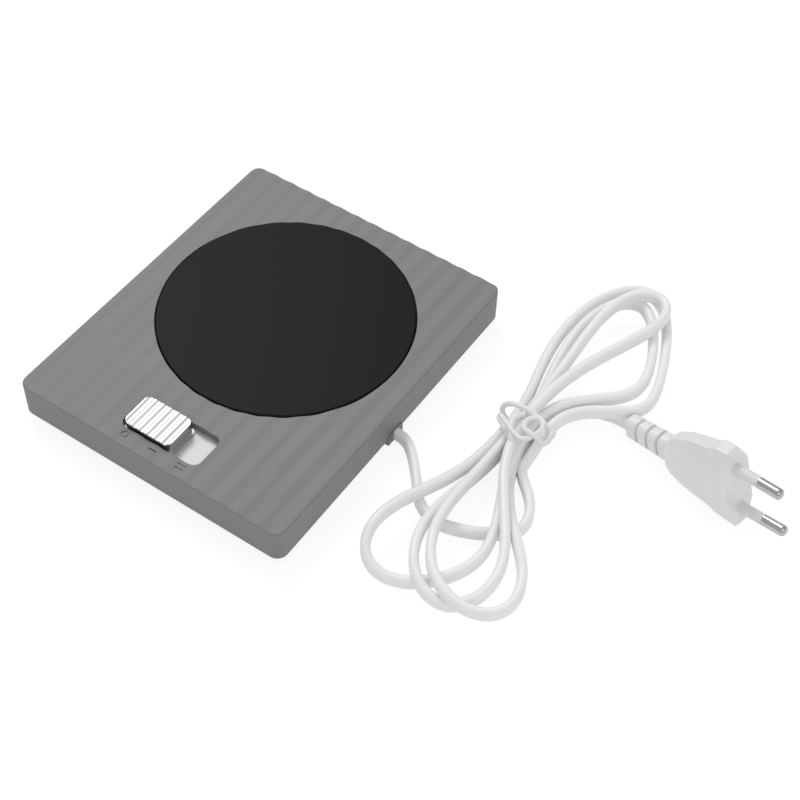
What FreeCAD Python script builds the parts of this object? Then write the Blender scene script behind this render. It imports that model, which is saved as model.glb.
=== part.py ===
import FreeCAD, Part
import math
import os

V = FreeCAD.Vector

# Electric mug warmer: a flat rippled housing with a round hot plate, a three-position slide
# switch and a flat twin mains lead tied up in a hank. Millimetres, +Z up, origin on the table
# under the middle of the housing, -Y towards the switch, +X towards the lead.

# Housing
BODY_WIDTH = 112.0
BODY_DEPTH = 135.0
BODY_CORNER_RADIUS = 4.1
FOOT_HEIGHT = 3.0
WALL_HEIGHT = 13.4
WALL = 2.0
TOP_THICKNESS = 2.2
EDGE_ROUND = 0.6
RIPPLE_PITCH = 7.8
RIPPLE_HEIGHT = 0.34
FIT_CLEARANCE = 0.15

# Base cover, screws and feet
BASE_THICKNESS = 2.0
BOSS_RADIUS = 3.2
BOSS_INSET = 7.2
BOSS_FOOT_GAP = 0.3
SCREW_RADIUS = 1.3
SCREW_HEAD_RADIUS = 2.6
SCREW_HEAD_HEIGHT = 1.2
SCREW_BITE = 5.0
FOOT_RADIUS = 6.0
FOOT_RECESS = 1.0
FOOT_INSET_X = 15.0
FOOT_INSET_Y = 19.0
LABEL_WIDTH = 46.0
LABEL_DEPTH = 26.0
LABEL_THICKNESS = 0.2

# Hot plate and the stack under it
PLATE_CENTRE_Y = 11.4
PLATE_RADIUS = 46.4
PLATE_GAP = 0.5
PLATE_PROUD = 0.3
PLATE_ROUND = 0.4
SEAL_WIDTH = 5.0
SEAL_THICKNESS = 1.2
SEAL_OVERLAP = 3.6
HEATER_RADIUS = 38.0
HEATER_THICKNESS = 0.8
CLAMP_RADIUS = 39.0
CLAMP_THICKNESS = 0.8
PAD_THICKNESS = 2.0
SHIELD_THICKNESS = 0.6
STACK_SIDE_GAP = 0.4
CARRIER_WALL = 1.5
CARRIER_LIP = 3.0
CARRIER_LIP_THICKNESS = 0.8
CARRIER_FLANGE_THICKNESS = 1.5
CARRIER_FLANGE_OUT = 9.6
LUG_RADIUS = 3.4
LUG_REACH = 1.6
LUG_SCREW_RADIUS = 0.9
LUG_SCREW_HEAD_RADIUS = 1.8
LUG_SCREW_HEAD_HEIGHT = 0.8
LUG_SCREW_BITE = 1.6
THERMOSTAT_RADIUS = 6.0
THERMOSTAT_HEIGHT = 3.2
THERMOSTAT_FLANGE = 9.0
THERMOSTAT_FLANGE_THICKNESS = 0.4
FUSE_RADIUS = 1.5
FUSE_LENGTH = 9.0
FUSE_CLIP_THICKNESS = 0.4

# Slide switch and its knob
SLOT_LENGTH = 33.0
SLOT_WIDTH = 14.5
SLOT_CENTRE_Y = -53.25
SLOT_CORNER_RADIUS = 3.0
SLOT_DEPTH = 3.0
SLOT_RIM_WALL = 1.2
KNOB_CLEARANCE = 0.3
KNOB_SIDE_CLEARANCE = 0.5
KNOB_LENGTH = 19.8
KNOB_LEDGE = 1.0
KNOB_LEDGE_HEIGHT = 0.9
KNOB_PROUD = 2.0
KNOB_CORNER_RADIUS = 2.4
KNOB_RIDGE_PITCH = 3.2
KNOB_RIDGE_HEIGHT = 0.22
SHUTTER_THICKNESS = 0.8
SHUTTER_GAP = 0.1
SHUTTER_MARGIN = 1.6
STEM_LENGTH = 7.0
STEM_WIDTH = 5.0
STEM_DROP = 1.4
LEVER_LENGTH = 3.6
LEVER_WIDTH = 2.2
LEVER_FIT = 0.05
LEVER_ENGAGE = 1.2
SWITCH_LENGTH = 24.0
SWITCH_WIDTH = 8.5
SWITCH_GAP = 0.3
SWITCH_WELL_DEPTH = 2.0
SWITCH_WELL_GAP = 0.3
BOARD_LENGTH = 62.0
BOARD_WIDTH = 18.0
BOARD_THICKNESS = 1.2
BOARD_POST_HEIGHT = 1.0
BOARD_POST_RADIUS = 2.2
BOARD_SCREW_RADIUS = 0.9
BOARD_SCREW_HEAD_RADIUS = 1.7
BOARD_SCREW_HEAD_HEIGHT = 0.8
BOARD_SCREW_INSET = 2.6
TERMINAL_LENGTH = 8.0
TERMINAL_WIDTH = 7.0
TERMINAL_HEIGHT = 3.4
TERMINAL_OFFSET = 19.5
DIODE_RADIUS = 1.4
DIODE_LENGTH = 5.2

# Engraved marks in front of the slot: a ring, one bar and two bars
MARK_Y = -63.0
MARK_SPACING = 11.9
MARK_DEPTH = 0.25
MARK_LINE = 0.65
MARK_RING_RADIUS = 1.45
MARK_BAR_LENGTH = 3.3
MARK_BAR_PITCH = 1.7

# Mains lead
CORD_DIAMETER = 3.6
CORD_HEIGHT = 2.75
CORD_EXIT_Y = -1.3
END_RUN = 4.2
BUSH_WIDTH = 8.6
BUSH_HEIGHT = 5.4
BUSH_LENGTH = 7.0
BUSH_PROUD = 0.4
CORD_CLAMP_LENGTH = 6.0
CORD_CLAMP_WIDTH = 17.0
CORD_CLAMP_THICKNESS = 1.6
CLAMP_SCREW_SPACING = 12.0
WIRE_RADIUS = 0.7

# The lead's points, by hand: from the bush to the hank, and from the hank to the plug
LEAD_POINTS = [
    (66.1, -5.4, 2.75),
    (73.1, -13.3, 2.75),
    (79.5, -21.7, 2.75),
    (88.1, -25.0, 2.75),
    (97.3, -23.0, 2.75),
    (106.8, -17.9, 2.75),
    (114.6, -11.5, 2.75),
    (111.5, -0.2, 2.75),
]
TAIL_POINTS = [
    (99.6, 44.2, 2.75),
    (104.5, 45.7, 2.75),
    (110.2, 48.4, 2.8),
]

# Hank: strands side by side in two layers at the tie, and six loops that fan out from it
TIE_X = 93.2
TIE_Y = 24.4
WAIST_HALF = 6.0
STRAND_PITCH = 4.3
LAYER_PITCH = 4.7
WAIST_LEAD_IN = 1.0
SLOTS = {
    "lead": (1.62, 0),
    "lifted": (1.62, 1),
    "outer": (-1.5, 0),
    "right": (0.5, 1),
    "left": (-0.5, 0),
    "middle": (0.0, 1.9),
    "top": (-0.5, 1),
    "tail": (0.55, 0),
}
# side of the tie, first slot, last slot, reach, half width, neck, lean, bow, heading in degrees,
# layers at the first quarter, the far end and the third quarter
LOOPS = [
    (1, "lifted", "outer", 51.95, -19.31, 0.87, 51.04, -53.08, 35.50, (1.36, 0.45, 0.13)),
    (-1, "outer", "right", 69.27, -13.73, 0.52, -15.45, 24.48, -80.36, (1.61, 0.00, 1.05)),
    (1, "right", "left", 54.32, -12.82, 1.47, 36.53, -41.18, 47.55, (1.15, 1.03, 0.95)),
    (-1, "left", "middle", 73.41, -11.27, 1.33, 2.41, 17.36, -78.51, (1.43, 0.97, 2.06)),
    (1, "middle", "top", 70.42, -7.89, 0.00, 4.24, -4.61, 76.36, (2.01, 2.00, 2.03)),
    (-1, "top", "tail", 74.75, -12.91, 0.81, 14.40, 19.93, -80.64, (2.09, 2.11, 2.69)),
]
LEVELS_PER_LOOP = 4
LEVEL_REST = 0.06
SPANS_PER_LOOP = 12
TIE_WIRE_RADIUS = 0.9
TIE_TURNS = 2
TIE_GAP = 0.5

# Plug: two round pins 19 mm long, sleeved next to the face; it lies on its narrow edge.
# Each section gives its distance behind the face, half width and half thickness.
PLUG_FACE = (167.87, 34.83, 18.31)
PLUG_YAW = -15.15
PLUG_PITCH = 15.0
PLUG_ROLL = 95.8
PLUG_SECTIONS = [
    (0.0, 16.3, 5.9),
    (1.0, 17.3, 6.85),
    (5.5, 17.3, 6.85),
    (8.0, 15.5, 6.6),
    (14.0, 14.0, 6.4),
    (20.0, 12.2, 6.2),
    (26.0, 9.0, 5.6),
    (28.5, 6.4, 4.8),
]
PLUG_LENGTH = PLUG_SECTIONS[-1][0]
PLUG_SHOULDER = 0.55
PLUG_CHAMFER = 0.38
RELIEF_LENGTH = 19.5
RELIEF_WIDTH = 10.2
RELIEF_THICKNESS = 7.4
RELIEF_GROOVES = 3
RELIEF_GROOVE_WIDTH = 1.4
RELIEF_GROOVE_DEPTH = 1.2
PIN_RADIUS = 2.0
PIN_LENGTH = 19.0
PIN_SLEEVE_LENGTH = 10.0
PIN_SLEEVE_WALL = 0.4
PIN_ROOT_SPACING = 18.6
PIN_TIP_SPACING = 17.6
PIN_EMBED = 8.0

# Heights worked out from the sizes above
WALL_FOOT_Z = FOOT_HEIGHT
TOP_Z = FOOT_HEIGHT + WALL_HEIGHT
UNDER_Z = TOP_Z - TOP_THICKNESS
BASE_TOP_Z = WALL_FOOT_Z + BASE_THICKNESS
HOLE_RADIUS = PLATE_RADIUS + PLATE_GAP
SLOT_FLOOR_Z = TOP_Z - SLOT_DEPTH
HEATER_Z = UNDER_Z - HEATER_THICKNESS
CLAMP_Z = HEATER_Z - CLAMP_THICKNESS
PAD_Z = CLAMP_Z - PAD_THICKNESS
SHIELD_Z = PAD_Z - SHIELD_THICKNESS
CARRIER_Z = SHIELD_Z - CARRIER_LIP_THICKNESS
SEAL_Z = UNDER_Z - SEAL_THICKNESS
CARRIER_FLANGE_Z = SEAL_Z - CARRIER_FLANGE_THICKNESS
CARRIER_INNER = CLAMP_RADIUS + STACK_SIDE_GAP
CARRIER_FLANGE_RADIUS = CARRIER_INNER + CARRIER_WALL + CARRIER_FLANGE_OUT
SEAL_INNER = PLATE_RADIUS - SEAL_OVERLAP
SEAL_OUTER = SEAL_INNER + SEAL_WIDTH + PLATE_GAP
KNOB_LEDGE_LENGTH = KNOB_LENGTH + 2 * KNOB_LEDGE
KNOB_TRAVEL = SLOT_LENGTH - KNOB_LEDGE_LENGTH - 2 * KNOB_CLEARANCE
KNOB_X = -KNOB_TRAVEL / 2
KNOB_WIDTH = SLOT_WIDTH - 2 * KNOB_SIDE_CLEARANCE
SHUTTER_TOP_Z = SLOT_FLOOR_Z - SHUTTER_GAP
BOARD_Z = BASE_TOP_Z + BOARD_POST_HEIGHT
BOARD_TOP_Z = BOARD_Z + BOARD_THICKNESS
STEM_Z = SHUTTER_TOP_Z - SHUTTER_THICKNESS - STEM_DROP
SWITCH_TOP_Z = STEM_Z - SWITCH_GAP
INNER_X = BODY_WIDTH / 2 - WALL
INNER_Y = BODY_DEPTH / 2 - WALL


def box(x0, y0, z0, x1, y1, z1):
    return Part.makeBox(x1 - x0, y1 - y0, z1 - z0, V(x0, y0, z0))


def block(cx, cy, z0, sx, sy, sz):
    return box(cx - sx / 2, cy - sy / 2, z0, cx + sx / 2, cy + sy / 2, z0 + sz)


def disc(cx, cy, z0, radius, height):
    return Part.makeCylinder(radius, height, V(cx, cy, z0))


def ring(cx, cy, z0, inner, outer, height):
    return disc(cx, cy, z0, outer, height).cut(disc(cx, cy, z0, inner, height))


def slab(cx, cy, z0, sx, sy, sz, radius):
    """A block with its four upright corners rounded."""
    solid = block(cx, cy, z0, sx, sy, sz)
    upright = [e for e in solid.Edges if abs(e.Vertexes[0].Z - e.Vertexes[1].Z) > sz / 2]
    return solid.makeFillet(radius, upright)


def arc(a, b, c):
    return Part.Arc(a, b, c).toShape()


def save(name, shape):
    solids = shape.Solids
    if len(solids) == 1:
        shape = solids[0]
    print(name, "solids", len(solids), "valid", shape.isValid(), "volume", round(shape.Volume, 1),
          "lowest", round(shape.optimalBoundingBox().ZMin, 2))
    shape.exportStep("parts/" + name + ".step")


def rippled_prism(width, y0, y1, z_bottom, z_mean, pitch, height):
    """A solid whose top is a wave of tangent arcs along X, with a crest at x = 0."""
    half = pitch / 4
    amplitude = height / 2
    radius = (half * half + amplitude * amplitude) / (2 * amplitude)
    drop = radius - amplitude
    count = int(math.ceil(width / 2 / (2 * half))) + 1
    edges = []
    for k in range(-count, count + 1):
        x = k * 2 * half
        up = 1 if k % 2 == 0 else -1
        points = [V(x - half, y0, z_mean), V(x, y0, z_mean + up * (radius - drop)), V(x + half, y0, z_mean)]
        edges.append(arc(*points))
    first = edges[0].valueAt(edges[0].FirstParameter)
    last = edges[-1].valueAt(edges[-1].LastParameter)
    if first.x > last.x:
        first, last = last, first
    low_first = V(first.x, y0, z_bottom)
    low_last = V(last.x, y0, z_bottom)
    edges.append(Part.makeLine(last, low_last))
    edges.append(Part.makeLine(low_last, low_first))
    edges.append(Part.makeLine(low_first, first))
    wire = Part.Wire(Part.__sortEdges__(edges))
    return Part.Face(wire).extrude(V(0, y1 - y0, 0))


def corner_points(inset_x, inset_y):
    x = BODY_WIDTH / 2 - inset_x
    y = BODY_DEPTH / 2 - inset_y
    return [(sx * x, sy * y) for sx in (-1, 1) for sy in (-1, 1)]


def lug_points():
    reach = CARRIER_FLANGE_RADIUS + LUG_REACH
    points = []
    for k in range(4):
        angle = math.radians(45 + 90 * k)
        points.append((reach * math.cos(angle), PLATE_CENTRE_Y + reach * math.sin(angle)))
    return points


def board_screw_points():
    x = BOARD_LENGTH / 2 - BOARD_SCREW_INSET
    y = BOARD_WIDTH / 2 - BOARD_SCREW_INSET
    return [(sx * x, SLOT_CENTRE_Y + sy * y) for sx, sy in ((-1, -1), (1, 1), (-1, 1), (1, -1))]


def bush_notch(grow):
    """The outline of the cord bush, as a block through the right wall."""
    x0 = BODY_WIDTH / 2 - BUSH_LENGTH
    y = BUSH_WIDTH / 2 + grow
    top = BUSH_HEIGHT + grow
    solid = box(x0, CORD_EXIT_Y - y, 0.0, BODY_WIDTH / 2 + BUSH_PROUD, CORD_EXIT_Y + y, top)
    edges = [e for e in solid.Edges if abs(e.Vertexes[0].X - e.Vertexes[1].X) > 1 and e.Vertexes[0].Z > 1]
    return solid.makeFillet(BUSH_WIDTH / 4, edges)


def make_top_cover():
    outline = slab(0, 0, WALL_FOOT_Z, BODY_WIDTH, BODY_DEPTH, WALL_HEIGHT + RIPPLE_HEIGHT, BODY_CORNER_RADIUS)
    wave = rippled_prism(BODY_WIDTH, -BODY_DEPTH, BODY_DEPTH, 0.0, TOP_Z, RIPPLE_PITCH, RIPPLE_HEIGHT)
    shell = outline.common(wave)
    rim = [e for e in shell.Edges if e.BoundBox.ZMin > UNDER_Z and not inside_top(e)]
    shell = shell.makeFillet(EDGE_ROUND, rim)
    inner_radius = max(BODY_CORNER_RADIUS - WALL, 0.5)
    hollow = slab(0, 0, WALL_FOOT_Z, 2 * INNER_X, 2 * INNER_Y, UNDER_Z - WALL_FOOT_Z, inner_radius)
    shell = shell.cut(hollow)
    for x, y in corner_points(BOSS_INSET, BOSS_INSET):
        boss_foot = BASE_TOP_Z + BOSS_FOOT_GAP
        shell = shell.fuse(disc(x, y, boss_foot, BOSS_RADIUS, UNDER_Z - boss_foot))
    for x, y in lug_points():
        shell = shell.fuse(disc(x, y, SEAL_Z, LUG_RADIUS, SEAL_THICKNESS))
    rim_wall = slab(0, SLOT_CENTRE_Y, SLOT_FLOOR_Z, SLOT_LENGTH + 2 * SLOT_RIM_WALL,
                    SLOT_WIDTH + 2 * SLOT_RIM_WALL, UNDER_Z - SLOT_FLOOR_Z,
                    SLOT_CORNER_RADIUS + SLOT_RIM_WALL)
    shell = shell.fuse(rim_wall)
    shell = shell.cut(slab(0, SLOT_CENTRE_Y, SLOT_FLOOR_Z, SLOT_LENGTH, SLOT_WIDTH,
                           TOP_Z + RIPPLE_HEIGHT - SLOT_FLOOR_Z, SLOT_CORNER_RADIUS))
    shell = shell.cut(disc(0, PLATE_CENTRE_Y, UNDER_Z, HOLE_RADIUS, TOP_THICKNESS + RIPPLE_HEIGHT))
    for x, y in corner_points(BOSS_INSET, BOSS_INSET):
        shell = shell.cut(disc(x, y, BASE_TOP_Z, SCREW_RADIUS, SCREW_BITE))
    for x, y in lug_points():
        shell = shell.cut(disc(x, y, SEAL_Z, LUG_SCREW_RADIUS, LUG_SCREW_BITE))
    shell = shell.cut(bush_notch(FIT_CLEARANCE))
    return cut_marks(shell)


def inside_top(edge):
    """True for the seams between ripples, which cross the top from front to back."""
    box_ = edge.BoundBox
    return box_.YLength > BODY_DEPTH / 2 and abs(box_.Center.x) < BODY_WIDTH / 2 - EDGE_ROUND


def cut_marks(shell):
    z = TOP_Z - RIPPLE_HEIGHT / 2 - MARK_DEPTH
    depth = MARK_DEPTH + 2 * RIPPLE_HEIGHT
    shell = shell.cut(ring(-MARK_SPACING, MARK_Y, z, MARK_RING_RADIUS - MARK_LINE, MARK_RING_RADIUS, depth))
    bars = [(0.0, 0.0), (MARK_SPACING, -MARK_BAR_PITCH / 2), (MARK_SPACING, MARK_BAR_PITCH / 2)]
    for x, dy in bars:
        shell = shell.cut(block(x, MARK_Y + dy, z, MARK_BAR_LENGTH, MARK_LINE, depth))
    return shell


def make_base_cover():
    sx = 2 * (INNER_X - FIT_CLEARANCE)
    sy = 2 * (INNER_Y - FIT_CLEARANCE)
    base = slab(0, 0, WALL_FOOT_Z, sx, sy, BASE_THICKNESS, max(BODY_CORNER_RADIUS - WALL, 0.5))
    for x, y in board_screw_points():
        base = base.fuse(disc(x, y, BASE_TOP_Z, BOARD_POST_RADIUS, BOARD_POST_HEIGHT))
        base = base.cut(disc(x, y, BASE_TOP_Z - BASE_THICKNESS / 2, BOARD_SCREW_RADIUS,
                             BASE_THICKNESS / 2 + BOARD_POST_HEIGHT))
    for x, y in corner_points(BOSS_INSET, BOSS_INSET):
        base = base.cut(disc(x, y, WALL_FOOT_Z, SCREW_RADIUS + FIT_CLEARANCE, BASE_THICKNESS))
        base = base.cut(disc(x, y, WALL_FOOT_Z, SCREW_HEAD_RADIUS + FIT_CLEARANCE, SCREW_HEAD_HEIGHT))
    for x, y in corner_points(FOOT_INSET_X, FOOT_INSET_Y):
        base = base.cut(disc(x, y, WALL_FOOT_Z, FOOT_RADIUS, FOOT_RECESS))
    base = base.cut(block(0, 0, WALL_FOOT_Z, LABEL_WIDTH, LABEL_DEPTH, LABEL_THICKNESS))
    for y in clamp_screw_rows():
        base = base.fuse(disc(clamp_x(), y, BASE_TOP_Z, BOARD_POST_RADIUS, clamp_z() - BASE_TOP_Z))
        base = base.cut(disc(clamp_x(), y, BASE_TOP_Z - BASE_THICKNESS / 2, BOARD_SCREW_RADIUS,
                             clamp_z() - BASE_TOP_Z + BASE_THICKNESS / 2))
    return base.cut(bush_notch(FIT_CLEARANCE)).cut(cord_channel())


def clamp_x():
    return BODY_WIDTH / 2 - BUSH_LENGTH - CORD_CLAMP_LENGTH


def clamp_z():
    return max(CORD_HEIGHT + CORD_DIAMETER / 2, BASE_TOP_Z + 0.4)


def clamp_screw_rows():
    return [CORD_EXIT_Y - CLAMP_SCREW_SPACING / 2, CORD_EXIT_Y + CLAMP_SCREW_SPACING / 2]


def cord_channel():
    """The open trough in the base that the lead lies in on its way to the clamp."""
    half = CORD_DIAMETER / 2 + FIT_CLEARANCE
    x0 = clamp_x() - CORD_CLAMP_LENGTH
    x1 = BODY_WIDTH / 2 - BUSH_LENGTH
    return box(x0, CORD_EXIT_Y - half, WALL_FOOT_Z, x1, CORD_EXIT_Y + half, BASE_TOP_Z)


def make_case_screws():
    screws = []
    for x, y in corner_points(BOSS_INSET, BOSS_INSET):
        head = disc(x, y, WALL_FOOT_Z + 0.1, SCREW_HEAD_RADIUS, SCREW_HEAD_HEIGHT - 0.1)
        slot_z = WALL_FOOT_Z + 0.1
        head = head.cut(block(x, y, slot_z, SCREW_HEAD_RADIUS * 1.3, 0.5, 0.5))
        head = head.cut(block(x, y, slot_z, 0.5, SCREW_HEAD_RADIUS * 1.3, 0.5))
        shank = disc(x, y, WALL_FOOT_Z + SCREW_HEAD_HEIGHT, SCREW_RADIUS - 0.02,
                     BASE_THICKNESS + SCREW_BITE - 1.6)
        screws.append(head.fuse(shank))
    return Part.makeCompound(screws)


def make_feet():
    feet = []
    for x, y in corner_points(FOOT_INSET_X, FOOT_INSET_Y):
        foot = disc(x, y, 0, FOOT_RADIUS, FOOT_HEIGHT + FOOT_RECESS)
        low = [e for e in foot.Edges if e.BoundBox.ZMax < 0.01]
        feet.append(foot.makeFillet(0.5, low))
    return Part.makeCompound(feet)


def make_heating_plate():
    plate = disc(0, PLATE_CENTRE_Y, UNDER_Z, PLATE_RADIUS, TOP_THICKNESS + PLATE_PROUD)
    top = [e for e in plate.Edges if e.BoundBox.ZMin > TOP_Z + PLATE_PROUD - 0.01]
    return plate.makeFillet(PLATE_ROUND, top)


def make_plate_carrier():
    outer = CARRIER_INNER + CARRIER_WALL
    flange_top = CARRIER_FLANGE_Z + CARRIER_FLANGE_THICKNESS
    carrier = ring(0, PLATE_CENTRE_Y, CARRIER_Z, CARRIER_INNER, outer, flange_top - CARRIER_Z)
    carrier = carrier.fuse(ring(0, PLATE_CENTRE_Y, CARRIER_FLANGE_Z, CARRIER_INNER, CARRIER_FLANGE_RADIUS,
                                CARRIER_FLANGE_THICKNESS))
    carrier = carrier.fuse(ring(0, PLATE_CENTRE_Y, CARRIER_Z, CARRIER_INNER - CARRIER_LIP, outer,
                                CARRIER_LIP_THICKNESS))
    for x, y in lug_points():
        carrier = carrier.fuse(disc(x, y, CARRIER_FLANGE_Z, LUG_RADIUS, CARRIER_FLANGE_THICKNESS))
    core = disc(0, PLATE_CENTRE_Y, SHIELD_Z, CARRIER_INNER, flange_top - SHIELD_Z)
    carrier = carrier.cut(core)
    for x, y in lug_points():
        carrier = carrier.cut(disc(x, y, CARRIER_FLANGE_Z, LUG_SCREW_RADIUS + 0.1, CARRIER_FLANGE_THICKNESS))
    return carrier.removeSplitter()


def make_carrier_screws():
    screws = []
    for x, y in lug_points():
        head = disc(x, y, CARRIER_FLANGE_Z - LUG_SCREW_HEAD_HEIGHT, LUG_SCREW_HEAD_RADIUS,
                    LUG_SCREW_HEAD_HEIGHT)
        shank = disc(x, y, CARRIER_FLANGE_Z, LUG_SCREW_RADIUS - 0.02,
                     CARRIER_FLANGE_THICKNESS + LUG_SCREW_BITE - 0.1)
        screws.append(head.fuse(shank))
    return Part.makeCompound(screws)


def make_thermostat():
    can_z = SHIELD_Z - THERMOSTAT_FLANGE_THICKNESS
    flange = block(0, PLATE_CENTRE_Y + 9, can_z, 2 * THERMOSTAT_FLANGE, 6.0, THERMOSTAT_FLANGE_THICKNESS)
    can = disc(0, PLATE_CENTRE_Y + 9, can_z - THERMOSTAT_HEIGHT, THERMOSTAT_RADIUS, THERMOSTAT_HEIGHT)
    return can.fuse(flange)


def make_thermal_fuse():
    axis_z = SHIELD_Z - FUSE_RADIUS
    return Part.makeCylinder(FUSE_RADIUS, FUSE_LENGTH, V(-FUSE_LENGTH / 2, fuse_y(), axis_z), V(1, 0, 0))


def fuse_y():
    return PLATE_CENTRE_Y - 12


def make_fuse_clip():
    """A sheet strap under the fuse, its ends turned flat against the shield."""
    gap = 0.02
    half = FUSE_RADIUS + gap
    strap = block(0, fuse_y(), SHIELD_Z - 2 * half - FUSE_CLIP_THICKNESS, 4.0,
                  2 * (half + FUSE_CLIP_THICKNESS), 2 * half + FUSE_CLIP_THICKNESS)
    strap = strap.cut(block(0, fuse_y(), SHIELD_Z - 2 * half, 4.0, 2 * half, 2 * half))
    for side in (-1, 1):
        ear_y = fuse_y() + side * (half + FUSE_CLIP_THICKNESS + 2.0)
        strap = strap.fuse(block(0, ear_y, SHIELD_Z - FUSE_CLIP_THICKNESS, 4.0, 4.0, FUSE_CLIP_THICKNESS))
    return strap.removeSplitter()


def make_knob():
    z0 = SHUTTER_TOP_Z
    ledge = slab(KNOB_X, SLOT_CENTRE_Y, z0, KNOB_LEDGE_LENGTH, KNOB_WIDTH, KNOB_LEDGE_HEIGHT,
                 KNOB_CORNER_RADIUS)
    cap_top = TOP_Z + KNOB_PROUD
    cap = slab(KNOB_X, SLOT_CENTRE_Y, z0, KNOB_LENGTH, KNOB_WIDTH, cap_top - z0, KNOB_CORNER_RADIUS)
    wave = rippled_prism(KNOB_LENGTH, SLOT_CENTRE_Y - KNOB_WIDTH, SLOT_CENTRE_Y + KNOB_WIDTH, 0.0,
                         cap_top - KNOB_RIDGE_HEIGHT / 2 - 0.02, KNOB_RIDGE_PITCH, KNOB_RIDGE_HEIGHT)
    wave.translate(V(KNOB_X, 0, 0))
    cap = cap.common(wave)
    stem = block(KNOB_X, SLOT_CENTRE_Y, STEM_Z, STEM_LENGTH, STEM_WIDTH, z0 - STEM_Z)
    socket = block(KNOB_X, SLOT_CENTRE_Y, STEM_Z, LEVER_LENGTH + 2 * LEVER_FIT, LEVER_WIDTH + 2 * LEVER_FIT,
                   LEVER_ENGAGE)
    return ledge.fuse(cap).fuse(stem).cut(socket).removeSplitter()


def make_shutter():
    z0 = SHUTTER_TOP_Z - SHUTTER_THICKNESS
    length = SLOT_LENGTH + KNOB_TRAVEL + 2 * SHUTTER_MARGIN
    plate = slab(0, SLOT_CENTRE_Y, z0, length, SLOT_WIDTH + 2 * SHUTTER_MARGIN, SHUTTER_THICKNESS, 1.5)
    plate.translate(V(KNOB_X, 0, 0))
    return plate.cut(block(KNOB_X, SLOT_CENTRE_Y, z0, STEM_LENGTH, STEM_WIDTH, SHUTTER_THICKNESS))


def switch_well():
    length = LEVER_LENGTH + KNOB_TRAVEL + 2 * SWITCH_WELL_GAP
    width = LEVER_WIDTH + 2 * SWITCH_WELL_GAP
    return block(0, SLOT_CENTRE_Y, SWITCH_TOP_Z - SWITCH_WELL_DEPTH, length, width, SWITCH_WELL_DEPTH)


def make_switch_body():
    body = block(0, SLOT_CENTRE_Y, BOARD_TOP_Z, SWITCH_LENGTH, SWITCH_WIDTH, SWITCH_TOP_Z - BOARD_TOP_Z)
    return body.cut(switch_well())


def make_switch_lever():
    z0 = SWITCH_TOP_Z - SWITCH_WELL_DEPTH + SWITCH_WELL_GAP / 3
    return block(KNOB_X, SLOT_CENTRE_Y, z0, LEVER_LENGTH, LEVER_WIDTH, STEM_Z + LEVER_ENGAGE - z0)


def make_control_board():
    board = block(0, SLOT_CENTRE_Y, BOARD_Z, BOARD_LENGTH, BOARD_WIDTH, BOARD_THICKNESS)
    for x, y in board_screw_points():
        board = board.cut(disc(x, y, BOARD_Z, BOARD_SCREW_RADIUS + 0.1, BOARD_THICKNESS))
    return board


def make_board_screws():
    screws = []
    for x, y in board_screw_points():
        head = disc(x, y, BOARD_TOP_Z, BOARD_SCREW_HEAD_RADIUS, BOARD_SCREW_HEAD_HEIGHT)
        depth = BOARD_THICKNESS + BOARD_POST_HEIGHT + BASE_THICKNESS / 2 - 0.1
        screws.append(head.fuse(disc(x, y, BOARD_TOP_Z - depth, BOARD_SCREW_RADIUS - 0.02, depth)))
    return Part.makeCompound(screws)


def make_terminals():
    blocks = []
    for side in (-1, 1):
        x = side * TERMINAL_OFFSET
        part = block(x, SLOT_CENTRE_Y, BOARD_TOP_Z, TERMINAL_LENGTH, TERMINAL_WIDTH, TERMINAL_HEIGHT)
        for dy in (-TERMINAL_WIDTH / 4, TERMINAL_WIDTH / 4):
            well = TERMINAL_HEIGHT / 2
            part = part.cut(disc(x, SLOT_CENTRE_Y + dy, BOARD_TOP_Z + well, WIRE_RADIUS, well))
        blocks.append(part)
    return Part.makeCompound(blocks)


def make_diode():
    x = SWITCH_LENGTH / 2 - DIODE_LENGTH
    y = SLOT_CENTRE_Y + SWITCH_WIDTH / 2 + DIODE_RADIUS + 1.0
    return Part.makeCylinder(DIODE_RADIUS, DIODE_LENGTH, V(x, y, BOARD_TOP_Z + DIODE_RADIUS), V(1, 0, 0))


def make_bush():
    x0 = BODY_WIDTH / 2 - BUSH_LENGTH
    bore = Part.makeCylinder(CORD_DIAMETER / 2, BUSH_LENGTH + BUSH_PROUD, V(x0, CORD_EXIT_Y, CORD_HEIGHT),
                             V(1, 0, 0))
    return bush_notch(0.0).cut(bore)


def make_cord_clamp():
    strap = block(clamp_x(), CORD_EXIT_Y, clamp_z(), CORD_CLAMP_LENGTH, CORD_CLAMP_WIDTH,
                  CORD_CLAMP_THICKNESS)
    for y in clamp_screw_rows():
        strap = strap.cut(disc(clamp_x(), y, clamp_z(), BOARD_SCREW_RADIUS + 0.1, CORD_CLAMP_THICKNESS))
    return strap


def make_clamp_screws():
    screws = []
    top = clamp_z() + CORD_CLAMP_THICKNESS
    for y in clamp_screw_rows():
        head = disc(clamp_x(), y, top, BOARD_SCREW_HEAD_RADIUS, BOARD_SCREW_HEAD_HEIGHT)
        depth = top - BASE_TOP_Z + BASE_THICKNESS / 2 - 0.1
        screws.append(head.fuse(disc(clamp_x(), y, top - depth, BOARD_SCREW_RADIUS - 0.02, depth)))
    return Part.makeCompound(screws)


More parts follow.
